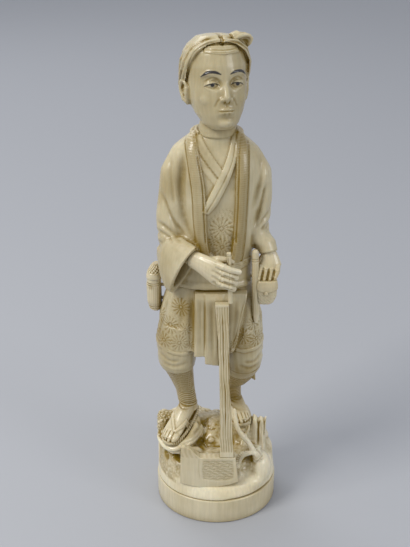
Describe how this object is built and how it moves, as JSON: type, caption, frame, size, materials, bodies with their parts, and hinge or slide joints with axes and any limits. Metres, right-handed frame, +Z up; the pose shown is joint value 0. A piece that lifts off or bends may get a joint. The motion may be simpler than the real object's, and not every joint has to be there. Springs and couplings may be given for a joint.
{
  "type": "okimono carving",
  "caption": "Standing woodcutter with an axe, carved in ivory colour on a rocky oval base; a free-standing shelf ornament.",
  "frame": {"origin": "middle of the plinth's flat underside", "axes": "+Z up, -Y the way the figure faces, +X to the right of someone who looks at its front"},
  "size_m": [0.0629, 0.0552, 0.2312],
  "materials": {
    "ivory": "satin",
    "ivory_rock": "satin",
    "ivory_axe": "satin",
    "ivory_peg": "matte"
  },
  "bodies": {
    "root": {"plinth": "ivory", "nerve_plug": "ivory_peg", "ground": "ivory_rock", "base_dowels": "ivory_peg", "right_leg": "ivory", "left_leg": "ivory", "foot_dowels": "ivory_peg", "skirt": "ivory", "waist_dowel": "ivory_peg", "torso": "ivory", "head": "ivory", "head_cloth_knot": "ivory", "right_hand": "ivory", "left_hand": "ivory", "stick": "ivory", "axe_head": "ivory_axe", "axe_haft": "ivory_axe", "pipe_case": "ivory", "tobacco_pouch": "ivory", "pouch_peg": "ivory_peg", "hip_case": "ivory", "hip_case_lid": "ivory", "hip_case_pegs": "ivory_peg"}
  },
  "joints": []
}
